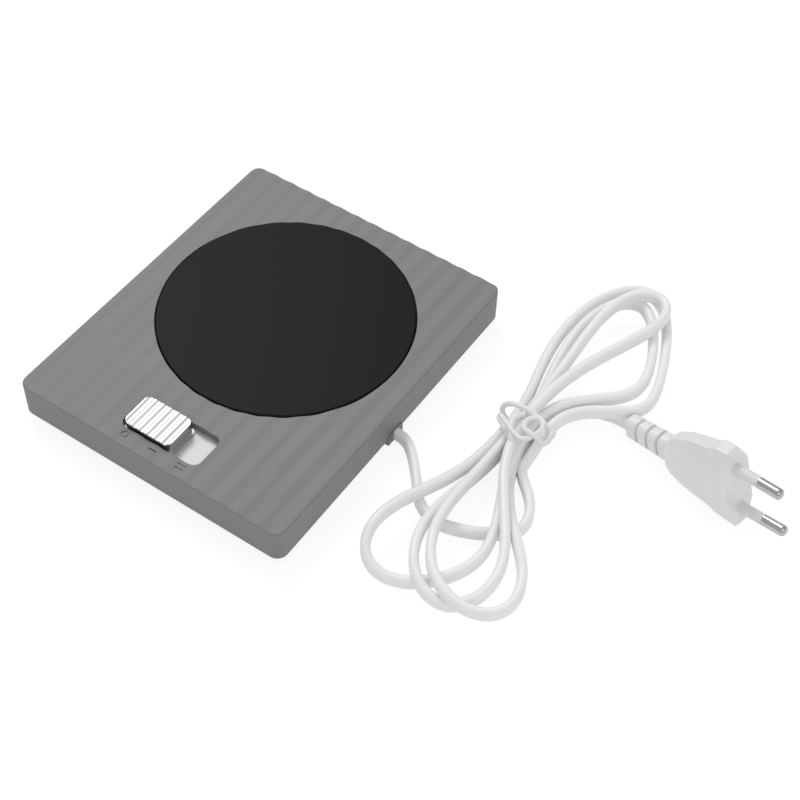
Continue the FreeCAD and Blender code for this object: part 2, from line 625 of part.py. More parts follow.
def tube(points, radius, name, start=None, end=None):
    """Round tube along straight runs joined by tangent arcs, each as large as its runs allow."""
    edges = []
    here = points[0]
    radii = []
    for k in range(1, len(points) - 1):
        a, b, c = points[k - 1], points[k], points[k + 1]
        into = b - a
        out = c - b
        shorter = min(into.Length, out.Length)
        into = into.normalize()
        out = out.normalize()
        turn = into.getAngle(out)
        trim = 0.45 * shorter
        bend = trim / math.tan(turn / 2)
        radii.append(round(bend, 1))
        p = b - into * trim
        q = b + out * trim
        middle_dir = (out - into).normalize()
        middle = b + middle_dir * (bend / math.cos(turn / 2) - bend)
        edges.append(Part.LineSegment(here, p).toShape())
        edges.append(arc(p, middle, q))
        here = q
    edges.append(Part.LineSegment(here, points[-1]).toShape())
    wire = Part.Wire(edges)
    solid = pipe(wire, radius, points[0], points[1] - points[0])
    expected = math.pi * radius * radius * wire.Length
    print(name, "length", round(wire.Length, 1), "bend radii", radii,
          "volume ratio", round(solid.Volume / expected, 4))
    return solid


def pipe(wire, radius, start, direction):
    section = Part.Wire([Part.makeCircle(radius, start, direction)])
    return wire.makePipeShell([section], True, False)


def slot_at(name):
    across, layer = SLOTS[name]
    return TIE_X + across * STRAND_PITCH, CORD_HEIGHT + layer * LAYER_PITCH


def loop_point(loop, turn):
    """Where a hank's loop has got to: turn goes from 0 at one slot to pi at the other."""
    side, first, last, reach, half_width, neck, lean, bow, heading, layers = loop
    sine = math.sin(turn)
    along = reach * sine
    shape = math.cos(turn) * (1 + neck * (1 - sine)) / 0.385
    across = (half_width * shape + lean + bow * (1 - sine)) * sine * sine
    angle = math.radians(90 * side + (heading - 90 * side) * sine)
    share = (1 - math.cos(turn)) / 2
    x0, z0 = slot_at(first)
    x1, z1 = slot_at(last)
    x = x0 + (x1 - x0) * share + math.cos(angle) * along - math.sin(angle) * across
    y = TIE_Y + side * WAIST_HALF + math.sin(angle) * along + math.cos(angle) * across
    heights = [z0] + [CORD_HEIGHT + layer * LAYER_PITCH for layer in layers] + [z1]
    step = min(max((turn / math.pi - LEVEL_REST) / (1 - 2 * LEVEL_REST), 0), 1) * LEVELS_PER_LOOP
    k = min(int(step), LEVELS_PER_LOOP - 1)
    ease = (1 - math.cos(math.pi * (step - k))) / 2
    return V(x, y, heights[k] + (heights[k + 1] - heights[k]) * ease)


def loop_tangent(loop, turn):
    small = 0.001
    a = loop_point(loop, max(turn - small, 0))
    b = loop_point(loop, min(turn + small, math.pi))
    return (b - a).normalize()


def biarc(p, tp, q, tq):
    """Two arcs from p to q that meet smoothly and leave and arrive along tp and tq."""
    v = q - p
    both = tp + tq
    a = 2 * (1 - tp.dot(tq))
    b = 2 * v.dot(both)
    c = v.dot(v)
    if a < 1e-6:
        d = c / b
    else:
        d = (-b + math.sqrt(b * b + 4 * a * c)) / (2 * a)
    joint = (p + tp * d + q - tq * d) * 0.5
    return [arc_from(p, tp, joint), arc_from(joint, (q - tq * d - p - tp * d).normalize(), q)]


def arc_from(p, tangent, q):
    """The arc from p to q that leaves p along tangent."""
    chord = q - p
    forward = chord.dot(tangent)
    sideways = chord - tangent * forward
    if sideways.Length < 1e-4:
        return Part.LineSegment(p, q).toShape()
    normal = V(sideways).normalize()
    radius = chord.dot(chord) / (2 * chord.dot(normal))
    centre = p + normal * radius
    swept = math.atan2(forward, radius - chord.dot(normal))
    middle = centre - normal * (radius * math.cos(swept / 2)) + tangent * (radius * math.sin(swept / 2))
    return arc(p, middle, q)


def hank_ends():
    x0, z0 = slot_at("lead")
    x1, z1 = slot_at(LOOPS[-1][2])
    run = CORD_DIAMETER + WAIST_LEAD_IN
    return V(x0, TIE_Y - WAIST_HALF - run, z0), V(x1, TIE_Y + WAIST_HALF + run, z1)


def make_hank():
    start, end = hank_ends()
    ahead = V(0, 1, 0)
    here = start + ahead * (CORD_DIAMETER + WAIST_LEAD_IN)
    edges = [Part.LineSegment(start, here).toShape()]
    direction = ahead
    for loop in LOOPS:
        for k in range(SPANS_PER_LOOP + 1):
            turn = math.pi * k / SPANS_PER_LOOP
            point = loop_point(loop, turn)
            tangent = loop_tangent(loop, turn)
            edges += biarc(here, direction, point, tangent)
            here = point
            direction = tangent
    edges.append(Part.LineSegment(here, end).toShape())
    wire = Part.Wire(edges)
    tightest = min(e.Curve.Radius for e in edges if hasattr(e.Curve, "Radius"))
    print("cord_hank length", round(wire.Length, 1), "tightest bend", round(tightest, 1),
          "least gap to itself", round(least_gap(edges), 2))
    solid = pipe(wire, CORD_DIAMETER / 2, start, ahead)
    expected = math.pi * CORD_DIAMETER ** 2 / 4 * wire.Length
    print("cord_hank volume ratio", round(solid.Volume / expected, 4))
    return solid


def least_gap(edges):
    """Smallest clear distance between strands, on points a millimetre apart along the route."""
    points = []
    for edge in edges:
        count = max(2, int(edge.Length))
        points += edge.discretize(count)[:-1]
    place = [0.0]
    for a, b in zip(points[:-1], points[1:]):
        place.append(place[-1] + (b - a).Length)
    least = 1e9
    for i, a in enumerate(points):
        for j in range(i + 1, len(points)):
            if place[j] - place[i] > 4 * CORD_DIAMETER:
                least = min(least, (points[j] - a).Length)
    return least - CORD_DIAMETER


def plug_frame():
    """Directions of the plug: along the pins, across from pin to pin, and through its thickness."""
    yaw = math.radians(PLUG_YAW)
    pitch = math.radians(PLUG_PITCH)
    roll = math.radians(PLUG_ROLL)
    along = V(math.cos(yaw) * math.cos(pitch), math.sin(yaw) * math.cos(pitch), math.sin(pitch))
    level = V(0, 0, 1).cross(along).normalize()
    up = along.cross(level)
    across = level * math.cos(roll) + up * math.sin(roll)
    return along, across, along.cross(across)


def plug_point(back, across, through):
    along, side, thick = plug_frame()
    return V(*PLUG_FACE) - along * back + side * across + thick * through


def plug_section(back, width, thickness, round_share):
    """A rounded rectangle across the plug, made of four lines and four arcs."""
    radius = min(width, thickness) / 2 * round_share
    w = width / 2
    t = thickness / 2
    edges = []
    corners = [(1, 1), (-1, 1), (-1, -1), (1, -1)]
    cut = radius * (1 - math.sqrt(0.5))
    points = []
    for sx, sy in corners:
        side_end = plug_point(back, sx * w, sy * (t - radius))
        middle = plug_point(back, sx * (w - cut), sy * (t - cut))
        face_end = plug_point(back, sx * (w - radius), sy * t)
        points.append((side_end, middle, face_end) if sx * sy > 0 else (face_end, middle, side_end))
    for k in range(4):
        edges.append(arc(*points[k]))
        edges.append(Part.LineSegment(points[k][2], points[(k + 1) % 4][0]).toShape())
    return Part.Wire(edges)


def plug_outline(back, half_width, half_thickness):
    """The eight-sided outline of the plug: broad flat faces, chamfers and narrow edges."""
    w = half_width
    t = half_thickness
    corners = [(w, PLUG_CHAMFER * t), (PLUG_SHOULDER * w, t), (-PLUG_SHOULDER * w, t), (-w, PLUG_CHAMFER * t)]
    corners += [(-a, -b) for a, b in corners]
    points = [plug_point(back, a, b) for a, b in corners]
    return Part.makePolygon(points + points[:1])


def make_plug_body():
    solid = Part.makeLoft([plug_outline(*section) for section in PLUG_SECTIONS], True, True)
    relief_end = PLUG_LENGTH + RELIEF_LENGTH
    relief = Part.makeLoft([plug_section(PLUG_LENGTH, RELIEF_WIDTH, RELIEF_THICKNESS, 0.8),
                            plug_section(relief_end, RELIEF_WIDTH - 0.8, RELIEF_THICKNESS - 0.8, 0.9)],
                           True, True)
    step = RELIEF_LENGTH / (RELIEF_GROOVES + 1)
    for k in range(RELIEF_GROOVES):
        back = PLUG_LENGTH + step * (k + 1)
        half = RELIEF_GROOVE_WIDTH / 2
        size = RELIEF_WIDTH + 4
        outer = Part.makeLoft([plug_section(back - half, size, size, 0.5), plug_section(back + half, size, size, 0.5)],
                              True, True)
        core_width = RELIEF_WIDTH - 2 * RELIEF_GROOVE_DEPTH
        core_thickness = RELIEF_THICKNESS - 2 * RELIEF_GROOVE_DEPTH
        core = Part.makeLoft([plug_section(back - half, core_width, core_thickness, 0.8),
                              plug_section(back + half, core_width, core_thickness, 0.8)], True, True)
        relief = relief.cut(outer.cut(core))
    solid = solid.fuse(relief)
    for side in (-1, 1):
        solid = solid.cut(make_pin(side, 0.0))
        solid = solid.cut(make_sleeve(side, False))
    return solid


def pin_line(side):
    root = plug_point(0.0, side * PIN_ROOT_SPACING / 2, 0)
    tip = plug_point(-PIN_LENGTH, side * PIN_TIP_SPACING / 2, 0)
    return root, (tip - root).normalize(), (tip - root).Length


def make_pin(side, spare):
    root, direction, length = pin_line(side)
    pin = Part.makeCylinder(PIN_RADIUS + spare, length + PIN_EMBED, root - direction * PIN_EMBED, direction)
    tip = root + direction * length
    end = [e for e in pin.Edges if len(e.Vertexes) == 1 and (e.BoundBox.Center - tip).Length < 0.1]
    return pin.makeFillet(PIN_RADIUS * 0.7, end)


def make_sleeve(side, hollow):
    root, direction, _ = pin_line(side)
    start = root - direction * 2.0
    length = PIN_SLEEVE_LENGTH + 2.0
    sleeve = Part.makeCylinder(PIN_RADIUS + 0.01, length, start, direction)
    if not hollow:
        return sleeve
    return sleeve.cut(Part.makeCylinder(PIN_RADIUS - PIN_SLEEVE_WALL, length, start, direction))


def make_pins():
    pins = []
    for side in (-1, 1):
        pins.append(make_pin(side, 0.0).cut(make_sleeve(side, True)))
    return Part.makeCompound(pins)


def make_tie():
    """A plastic-coated wire wound round the waist of the hank and knotted on top."""
    half_x = STRAND_PITCH * SLOTS["lead"][0] + CORD_DIAMETER / 2 + TIE_GAP + TIE_WIRE_RADIUS
    z_high = CORD_HEIGHT + SLOTS["middle"][1] * LAYER_PITCH + CORD_DIAMETER / 2 + TIE_GAP + TIE_WIRE_RADIUS
    bands = []
    for k in range(TIE_TURNS):
        y = TIE_Y + (k - (TIE_TURNS - 1) / 2) * 3 * TIE_WIRE_RADIUS
        outer = box(TIE_X - half_x - TIE_WIRE_RADIUS, y - TIE_WIRE_RADIUS, 0.0,
                    TIE_X + half_x + TIE_WIRE_RADIUS, y + TIE_WIRE_RADIUS, z_high + TIE_WIRE_RADIUS)
        inner = box(TIE_X - half_x + TIE_WIRE_RADIUS, y - TIE_WIRE_RADIUS, CORD_HEIGHT - CORD_DIAMETER / 2 - 0.1,
                    TIE_X + half_x - TIE_WIRE_RADIUS, y + TIE_WIRE_RADIUS, z_high - TIE_WIRE_RADIUS)
        bands.append(outer.cut(inner))
    knot = Part.makeCylinder(2 * TIE_WIRE_RADIUS, 3 * 3 * TIE_WIRE_RADIUS / 2,
                             V(TIE_X, TIE_Y - 9 * TIE_WIRE_RADIUS / 4, z_high + TIE_WIRE_RADIUS), V(0, 1, 0))
    tie = bands[0]
    for band in bands[1:]:
        tie = tie.fuse(band)
    return tie.fuse(knot)


def make_cords():
    start, end = hank_ends()
    leave = V(BODY_WIDTH / 2 + BUSH_PROUD, CORD_EXIT_Y, CORD_HEIGHT)
    square = V(0, END_RUN, 0)
    lead = [leave, leave + V(END_RUN, 0, 0)] + [V(*p) for p in LEAD_POINTS] + [start - square, start]
    entry = plug_point(PLUG_LENGTH + RELIEF_LENGTH, 0, 0)
    before = plug_point(PLUG_LENGTH + RELIEF_LENGTH + 6.5, 0, 0)
    tail = [end, end + square] + [V(*p) for p in TAIL_POINTS] + [before, entry]
    save("cord_lead", tube(lead, CORD_DIAMETER / 2, "cord_lead"))
    save("cord_tail", tube(tail, CORD_DIAMETER / 2, "cord_tail"))
    inner_x = clamp_x() - CORD_CLAMP_LENGTH
    inner = Part.makeCylinder(CORD_DIAMETER / 2, BODY_WIDTH / 2 + BUSH_PROUD - inner_x,
                              V(inner_x, CORD_EXIT_Y, CORD_HEIGHT), V(1, 0, 0))
    save("cord_inner", inner)
    save("cord_hank", make_hank())


os.makedirs("parts", exist_ok=True)
save("top_cover", make_top_cover())
save("base_cover", make_base_cover())
save("case_screws", make_case_screws())
save("feet", make_feet())
save("rating_plate", block(0, 0, WALL_FOOT_Z, LABEL_WIDTH - 0.2, LABEL_DEPTH - 0.2, LABEL_THICKNESS))
save("heating_plate", make_heating_plate())
save("plate_seal", ring(0, PLATE_CENTRE_Y, SEAL_Z, SEAL_INNER, SEAL_OUTER, SEAL_THICKNESS))
save("heater_element", disc(0, PLATE_CENTRE_Y, HEATER_Z, HEATER_RADIUS, HEATER_THICKNESS))
save("heater_clamp_plate", disc(0, PLATE_CENTRE_Y, CLAMP_Z, CLAMP_RADIUS, CLAMP_THICKNESS))
save("insulation_pad", disc(0, PLATE_CENTRE_Y, PAD_Z, CLAMP_RADIUS, PAD_THICKNESS))
save("heat_shield", disc(0, PLATE_CENTRE_Y, SHIELD_Z, CLAMP_RADIUS, SHIELD_THICKNESS))
save("plate_carrier", make_plate_carrier())
save("carrier_screws", make_carrier_screws())
save("thermostat", make_thermostat())
save("thermal_fuse", make_thermal_fuse())
save("fuse_clip", make_fuse_clip())
save("slider_knob", make_knob())
save("slot_shutter", make_shutter())
save("switch_lever", make_switch_lever())
save("switch_body", make_switch_body())
save("control_board", make_control_board())
save("board_screws", make_board_screws())
save("terminal_blocks", make_terminals())
save("rectifier_diode", make_diode())
save("cord_bush", make_bush())
save("cord_clamp", make_cord_clamp())
save("clamp_screws", make_clamp_screws())
make_cords()
save("cord_tie", make_tie())
save("plug_body", make_plug_body())
save("plug_pins", make_pins())
save("pin_sleeves", Part.makeCompound([make_sleeve(-1, True), make_sleeve(1, True)]))
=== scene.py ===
import bpy
import math
from mathutils import Matrix, Vector


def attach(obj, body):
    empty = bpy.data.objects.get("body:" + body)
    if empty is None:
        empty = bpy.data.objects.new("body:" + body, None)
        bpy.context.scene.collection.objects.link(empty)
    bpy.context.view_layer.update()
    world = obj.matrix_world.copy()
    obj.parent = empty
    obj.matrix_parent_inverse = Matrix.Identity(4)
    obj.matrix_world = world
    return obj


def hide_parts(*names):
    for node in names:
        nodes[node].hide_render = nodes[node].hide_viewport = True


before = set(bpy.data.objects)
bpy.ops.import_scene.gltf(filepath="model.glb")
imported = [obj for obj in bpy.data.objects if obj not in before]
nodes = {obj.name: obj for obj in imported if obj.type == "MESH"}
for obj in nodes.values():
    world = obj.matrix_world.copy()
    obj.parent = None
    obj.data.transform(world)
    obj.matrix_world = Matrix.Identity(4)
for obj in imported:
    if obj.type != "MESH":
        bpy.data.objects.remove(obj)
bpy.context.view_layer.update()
bpy.context.scene.view_settings.view_transform = "Standard"


# Housing: top cover with its side walls, and the base that closes it from below.
# ABS, injection moulded in a finely etched mould, so it scatters light softly and
# shows only a faint grain; the ripples are in the moulding itself.

def srgb(hex_colour):
    """A '#RRGGBB' colour as linear RGBA."""
    channels = [int(hex_colour[i:i + 2], 16) / 255 for i in (1, 3, 5)]
    return [c / 12.92 if c <= 0.04045 else ((c + 0.055) / 1.055) ** 2.4 for c in channels] + [1.0]


def add(tree, kind, settings=None, **links):
    """Adds one node, with its own settings, input values by name and links by name."""
    made = tree.nodes.new(kind)
    for key, value in (settings or {}).items():
        setattr(made, key, value)
    for key, value in links.items():
        socket = made.inputs[key.replace("_", " ")]
        if isinstance(value, bpy.types.NodeSocket):
            tree.links.new(value, socket)
        else:
            socket.default_value = value
    return made


def moulded(name, colour, roughness, grain_mm, grain_depth_mm, metallic=0.0, mottle=0.03):
    """A material with a fine surface grain of a real size and a slight mottle in its colour."""
    made = bpy.data.materials.new(name)
    made.use_nodes = True
    tree = made.node_tree
    shader = tree.nodes["Principled BSDF"]
    place = add(tree, "ShaderNodeTexCoord").outputs["Object"]
    grain = add(tree, "ShaderNodeTexNoise", Vector=place, Scale=1000.0 / grain_mm, Detail=3.0, Roughness=0.6)
    broad = add(tree, "ShaderNodeTexNoise", Vector=place, Scale=45.0, Detail=4.0, Roughness=0.55)
    tint = add(tree, "ShaderNodeValToRGB", Fac=broad.outputs["Fac"])
    base = srgb(colour)
    for element, side in zip(tint.color_ramp.elements, (-1, 1)):
        element.color = [max(c * (1 + side * mottle), 0) for c in base[:3]] + [1.0]
    tree.links.new(tint.outputs["Color"], shader.inputs["Base Color"])
    polish = add(tree, "ShaderNodeMapRange", Value=grain.outputs["Fac"], To_Min=roughness - 0.04,
                 To_Max=roughness + 0.04)
    tree.links.new(polish.outputs["Result"], shader.inputs["Roughness"])
    relief = add(tree, "ShaderNodeBump", Height=grain.outputs["Fac"], Strength=0.5,
                 Distance=grain_depth_mm / 1000)
    tree.links.new(relief.outputs["Normal"], shader.inputs["Normal"])
    shader.inputs["Metallic"].default_value = metallic
    return made


def finish_node(name, material):
    """Gives a CAD node its finish."""
    mesh = nodes[name].data
    mesh.materials.clear()
    mesh.materials.append(material)


etched_abs = moulded("etched_grey_abs", "#808080", 0.55, 0.5, 0.02)
finish_node("top_cover", etched_abs)
finish_node("base_cover", etched_abs)


# Under the housing: four soft feet, four screws in their recesses and a blank foil label.
# The feet are matt moulded rubber and the screws are zinc-plated steel.

foot_rubber = moulded("moulded_rubber", "#2A2A2A", 0.75, 0.4, 0.02)
zinc_plate = moulded("zinc_plated_steel", "#B9BABC", 0.35, 0.3, 0.004, metallic=1.0)
satin_foil = moulded("satin_foil", "#C7C8CA", 0.4, 0.2, 0.002, metallic=0.8)
finish_node("feet", foot_rubber)
finish_node("rating_plate", satin_foil)
for screws in ("case_screws", "carrier_screws", "board_screws", "clamp_screws"):
    finish_node(screws, zinc_plate)


# Hot plate: a steel disc with satin black enamel, a little proud of the housing and
# standing free of it all round, on a rubber seal whose near-black colour is painted shade for the gap.

# The enamel takes in nearly all light and gives back a dull, broad sheen.
black_enamel = moulded("satin_black_enamel", "#151515", 0.45, 0.35, 0.006, mottle=0.02)
black_enamel.node_tree.nodes["Principled BSDF"].inputs["Specular IOR Level"].default_value = 0.1
# The seal's near-black colour is painted shade: it stands in for the shadow in the gap round the plate.
seal_gap_shade = moulded("seal_painted_gap_shade", "#262626", 0.7, 0.4, 0.01)
finish_node("heating_plate", black_enamel)
finish_node("plate_seal", seal_gap_shade)


# Inside the housing: the heater stack, its sensors, the board and the lead's clamp.
# Plain technical finishes: rolled steel, mica, glass felt, nylon and circuit board.

rolled_steel = moulded("rolled_sheet_steel", "#A8A9AA", 0.38, 0.6, 0.004, metallic=1.0)
mica_sheet = moulded("mica_sheet", "#B7A684", 0.45, 1.5, 0.01, mottle=0.1)
glass_felt = moulded("pressed_glass_felt", "#E7E3D6", 0.9, 0.5, 0.08, mottle=0.06)
phenolic = moulded("black_phenolic", "#2B2B2D", 0.5, 0.5, 0.01)
solder_mask = moulded("green_solder_mask", "#2F5D3A", 0.35, 0.6, 0.003)
white_nylon = moulded("white_nylon", "#E6E6E0", 0.45, 0.5, 0.006)
for inner, material in (
        ("heater_element", mica_sheet), ("heater_clamp_plate", rolled_steel), ("insulation_pad", glass_felt),
        ("heat_shield", rolled_steel), ("plate_carrier", phenolic), ("thermostat", phenolic),
        ("thermal_fuse", rolled_steel), ("fuse_clip", rolled_steel), ("switch_body", phenolic),
        ("switch_lever", white_nylon), ("control_board", solder_mask), ("terminal_blocks", white_nylon),
        ("rectifier_diode", phenolic), ("cord_clamp", phenolic)):
    finish_node(inner, material)


# Slide knob and the strip that it carries along: ABS with bright plating, its sides
# left as chrome and its ridged top brushed to a satin, as is the strip.

def plated_knob():
    """Plating that mirrors its surround on upright sides and scatters it on the brushed top."""
    made = bpy.data.materials.new("plated_abs")
    made.use_nodes = True
    tree = made.node_tree
    shader = tree.nodes["Principled BSDF"]
    shader.inputs["Base Color"].default_value = srgb("#BCBCBC")
    shader.inputs["Metallic"].default_value = 1.0
    normal = add(tree, "ShaderNodeNewGeometry").outputs["Normal"]
    upright = add(tree, "ShaderNodeSeparateXYZ", Vector=normal).outputs["Z"]
    rough = add(tree, "ShaderNodeMapRange", Value=upright, From_Min=0.55, From_Max=0.8,
                To_Min=0.08, To_Max=0.42)
    tree.links.new(rough.outputs["Result"], shader.inputs["Roughness"])
    place = add(tree, "ShaderNodeTexCoord").outputs["Object"]
    brushed = add(tree, "ShaderNodeTexNoise", Vector=place, Scale=4000.0, Detail=2.0)
    relief = add(tree, "ShaderNodeBump", Height=brushed.outputs["Fac"], Strength=0.2, Distance=0.000004)
    tree.links.new(relief.outputs["Normal"], shader.inputs["Normal"])
    return made


finish_node("slider_knob", plated_knob())
satin_strip = moulded("satin_plated_strip", "#CACACA", 0.5, 0.3, 0.003, metallic=0.4, mottle=0.01)
finish_node("slot_shutter", satin_strip)


# Mains lead: a flat twin lead in soft white PVC, extruded, with a groove between its two
# cores. It leaves the bush, is folded into six loops held by a tie, and ends at the plug.

TIE_X, TIE_Y = 0.0932, 0.0244
WAIST_HALF = 0.006
STRAND_PITCH = 0.0043
LAYER_PITCH = 0.0047
LEAD_Z = 0.00275
PLACES = {"lead": (1.62, 0), "lifted": (1.62, 1), "outer": (-1.5, 0), "right": (0.5, 1), "left": (-0.5, 0),
          "middle": (0.0, 1.9), "top": (-0.5, 1), "tail": (0.55, 0)}
# Each fold: side of the tie, slot that it leaves, slot that it comes back to, reach, half
# width, neck, lean, bow, heading in degrees, and its layer at three places on the way.
FOLDS = [
    (1, "lifted", "outer", 0.05195, -0.01931, 0.87, 0.05104, -0.05308, 35.50, (1.36, 0.45, 0.13)),
    (-1, "outer", "right", 0.06927, -0.01373, 0.52, -0.01545, 0.02448, -80.36, (1.61, 0.00, 1.05)),
    (1, "right", "left", 0.05432, -0.01282, 1.47, 0.03653, -0.04118, 47.55, (1.15, 1.03, 0.95)),
    (-1, "left", "middle", 0.07341, -0.01127, 1.33, 0.00241, 0.01736, -78.51, (1.43, 0.97, 2.06)),
    (1, "middle", "top", 0.07042, -0.00789, 0.00, 0.00424, -0.00461, 76.36, (2.01, 2.00, 2.03)),
    (-1, "top", "tail", 0.07475, -0.01291, 0.81, 0.01440, 0.01993, -80.64, (2.09, 2.11, 2.69)),
]
POINTS_PER_FOLD = 16
LEAD_ROUTE = [
    (0.0564, -0.0013),
    (0.0606, -0.0013),
    (0.0661, -0.0054),
    (0.0731, -0.0133),
    (0.0795, -0.0217),
    (0.0881, -0.0250),
    (0.0973, -0.0230),
    (0.1068, -0.0179),
    (0.1146, -0.0115),
    (0.1115, -0.0002),
    (0.1002, 0.0096),
    (0.1002, 0.0138),
]
TAIL_ROUTE = [
    (0.0956, 0.0350, 0.00275),
    (0.0956, 0.0392, 0.00275),
    (0.0996, 0.0442, 0.00275),
    (0.1045, 0.0457, 0.00275),
    (0.1102, 0.0484, 0.00275),
    (0.11706, 0.04859, 0.00420),
    (0.12312, 0.04695, 0.00589),
]


def place_at(name):
    across, layer = PLACES[name]
    return TIE_X + across * STRAND_PITCH, LEAD_Z + layer * LAYER_PITCH


def fold_point(fold, turn):
    side, first, last, reach, half_width, neck, lean, bow, heading, layers = fold
    sine = math.sin(turn)
    along = reach * sine
    shape = math.cos(turn) * (1 + neck * (1 - sine)) / 0.385
    across = (half_width * shape + lean + bow * (1 - sine)) * sine * sine
    angle = math.radians(90 * side + (heading - 90 * side) * sine)
    share = (1 - math.cos(turn)) / 2
    x0, z0 = place_at(first)
    x1, z1 = place_at(last)
    x = x0 + (x1 - x0) * share + math.cos(angle) * along - math.sin(angle) * across
    y = TIE_Y + side * WAIST_HALF + math.sin(angle) * along + math.cos(angle) * across
    heights = [z0] + [LEAD_Z + layer * LAYER_PITCH for layer in layers] + [z1]
    step = min(max((turn / math.pi - 0.06) / 0.88, 0), 1) * 4
    k = min(int(step), 3)
    ease = (1 - math.cos(math.pi * (step - k))) / 2
    return (x, y, heights[k] + (heights[k + 1] - heights[k]) * ease)


route = [(x, y, LEAD_Z) for x, y in LEAD_ROUTE]
for fold in FOLDS:
    route += [fold_point(fold, math.pi * k / POINTS_PER_FOLD) for k in range(POINTS_PER_FOLD + 1)]
route += TAIL_ROUTE


def nurbs_line(name, points):
    """A smooth open curve with these control points, and the points that it passes through."""
    data = bpy.data.curves.new(name, "CURVE")
    data.dimensions = "3D"
    data.resolution_u = 10
    spline = data.splines.new("NURBS")
    spline.points.add(len(points) - 1)
    for point, at in zip(spline.points, points):
        point.co = (*at, 1.0)
    spline.order_u = 3
    spline.use_endpoint_u = True
    holder = bpy.data.objects.new(name, data)
    bpy.context.scene.collection.objects.link(holder)
    bpy.context.view_layer.update()
    mesh = bpy.data.meshes.new_from_object(holder)
    path = [v.co.copy() for v in mesh.vertices]
    bpy.data.objects.remove(holder)
    bpy.data.meshes.remove(mesh)
    return path


def twin_section(count):
    """The lead's section: two round cores side by side, 3.4 mm thick and 5.5 mm wide."""
    core = 0.0017
    offset = 0.00105
    groove = 38
    points = []
    for k in range(count):
        a = math.radians((180 + 2 * groove) * k / (count - 1) - groove)
        points.append((core * math.cos(a), offset + core * math.sin(a)))
    return points + [(-x, -y) for x, y in points]


def sweep(name, path, section, material, upright=True):
    """A skin over the path; its section keeps upright, or turns as little as it can."""
    verts, faces = [], []
    size = len(section)
    for i, at in enumerate(path):
        ahead = (path[min(i + 1, len(path) - 1)] - path[max(i - 1, 0)]).normalized()
        if upright or i == 0:
            side = Vector((0, 0, 1)).cross(ahead)
        side = (side - ahead * side.dot(ahead)).normalized()
        up = ahead.cross(side)
        verts += [at + side * u + up * v for u, v in section]
    for i in range(len(path) - 1):
        for k in range(size):
            a, b = i * size + k, i * size + (k + 1) % size
            faces.append((a, b, b + size, a + size))
    faces.append(tuple(reversed(range(size))))
    faces.append(tuple(range((len(path) - 1) * size, len(path) * size)))
    mesh = bpy.data.meshes.new(name)
    mesh.from_pydata(verts, [], faces)
    mesh.shade_smooth()
    made = bpy.data.objects.new(name, mesh)
    bpy.context.scene.collection.objects.link(made)
    mesh.materials.append(material)
    return made


# Soft PVC lets a little light in, so its shaded side stays pale.
soft_pvc = moulded("soft_white_pvc", "#F6F6F6", 0.38, 0.8, 0.004, mottle=0.01)
soft_pvc.node_tree.nodes["Principled BSDF"].inputs["Subsurface Weight"].default_value = 0.05
path = nurbs_line("lead_line", route)
lead = sweep("mains_lead", path, twin_section(12), soft_pvc)
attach(lead, "housing")
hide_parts("cord_lead", "cord_hank", "cord_tail")
finish_node("cord_inner", soft_pvc)
finish_node("cord_bush", moulded("soft_grey_pvc", "#7A7A7A", 0.55, 0.5, 0.01))


# Camera: high over the front right corner, at the photograph's angle and distance.
# The tie's knot is placed by where it shows in this camera's frame of 800 by 800.

FRAME_PIXELS = 800
SENSOR_MM = 36.0
LENS_MM = 73.83
CAMERA_AT = Vector((0.24718, -0.29662, 0.45207))
CAMERA_HEADING = 32.690
CAMERA_TILT = 39.210
CAMERA_ROLL = 2.049

turned = Matrix.Rotation(math.radians(CAMERA_HEADING), 4, "Z")
turned = turned @ Matrix.Rotation(math.radians(CAMERA_TILT), 4, "X")
turned = turned @ Matrix.Rotation(math.radians(CAMERA_ROLL), 4, "Z")
camera_data = bpy.data.cameras.new("camera")
camera_data.lens = LENS_MM
camera_data.sensor_width = SENSOR_MM
camera = bpy.data.objects.new("camera", camera_data)
camera.matrix_world = Matrix.Translation(CAMERA_AT) @ turned
bpy.context.scene.collection.objects.link(camera)
bpy.context.scene.camera = camera


def seen_at(across, down, height_mm):
    """The point at this height that shows at this pixel of the camera's frame."""
    pixel = SENSOR_MM / LENS_MM / FRAME_PIXELS
    middle = FRAME_PIXELS / 2
    ray = turned.to_3x3() @ Vector(((across - middle) * pixel, (middle - down) * pixel, -1))
    return tuple(CAMERA_AT + ray * ((height_mm / 1000 - CAMERA_AT.z) / ray.z))


# Tie round the hank: steel wire in white plastic, wound by hand round the strands and
# knotted loosely on top, with one end left sticking out and the other in a small loop.
# The knot's points are read off the photograph; their heights are guessed.

TIE_WIRE_RADIUS = 0.00095
TIE_HALF_WIDTH = 0.0102
TIE_HALF_HEIGHT = 0.0077
TIE_MIDDLE_Z = 0.0088
TIE_SPREAD = 0.004
TURN_POINTS = 24
TURN_START = 15
TURN_SWEEP = 550
KNOT_PIXELS_AND_HEIGHTS = [
    (500, 414, 16.0),
    (508, 425, 16.5),
    (516, 436, 16.2),
    (524, 440, 16.8),
    (533, 436, 17.6),
    (543, 429, 17.0),
    (543, 420, 16.2),
    (534, 417, 16.0),
    (525, 421, 16.0),
    (523, 428, 17.5),
    (530, 433, 19.0),
    (538, 439, 17.2),
    (544, 447, 14.5),
]
LOOP_PIXELS_AND_HEIGHTS = [
    (513, 444, 13.5),
    (510, 434, 15.5),
    (511, 421, 16.0),
    (517, 414.5, 15.6),
    (525, 415, 15.0),
]


def round_section(radius, count):
    return [(radius * math.cos(2 * math.pi * k / count), radius * math.sin(2 * math.pi * k / count))
            for k in range(count)]


